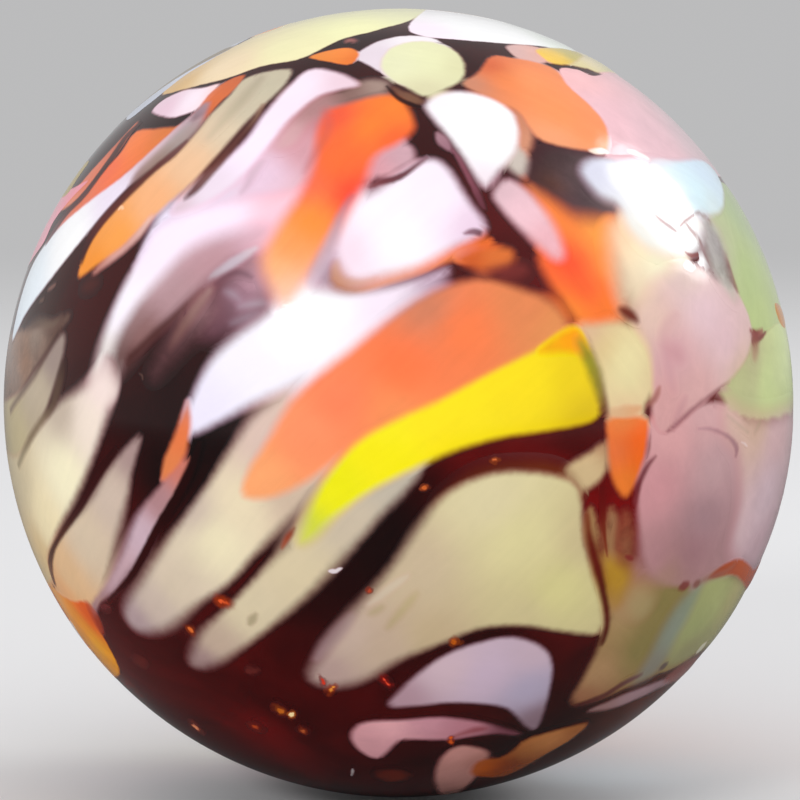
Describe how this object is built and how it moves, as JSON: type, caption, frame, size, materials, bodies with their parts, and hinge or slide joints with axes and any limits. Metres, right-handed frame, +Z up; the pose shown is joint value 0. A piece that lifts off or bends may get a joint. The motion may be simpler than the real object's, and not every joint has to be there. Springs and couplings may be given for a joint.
{
  "type": "glass marble",
  "caption": "Round glass marble with broken chips of coloured glass melted into its dark amber skin in thin overlapping layers",
  "frame": {"origin": "centre of the ball", "axes": "+Z up, -Y out of the middle of the patterned near side, +X to the right as that side is looked at"},
  "size_m": [0.0249, 0.0249, 0.0249],
  "materials": {
    "dark_glass": "fire-polished, near-black amber where thick",
    "white_glass": "fire-polished, opaque milky white to pale violet",
    "cream_glass": "fire-polished, opaque cream and straw",
    "tan_glass": "fire-polished, opaque beige to tan",
    "pink_glass": "fire-polished, opaque pale pink to old rose",
    "violet_glass": "fire-polished, opaque mauve to violet-grey",
    "orange_glass": "fire-polished, opaque peach to bright orange",
    "red_glass": "fire-polished, opaque orange-red",
    "amber_glass": "fire-polished, clear amber over pale glass",
    "yellow_glass": "fire-polished, opaque lemon yellow",
    "green_glass": "fire-polished, opaque pale green to olive",
    "blue_glass": "fire-polished, opaque pale sky blue"
  },
  "bodies": {
    "root": {"marble": "dark_glass"}
  },
  "joints": []
}
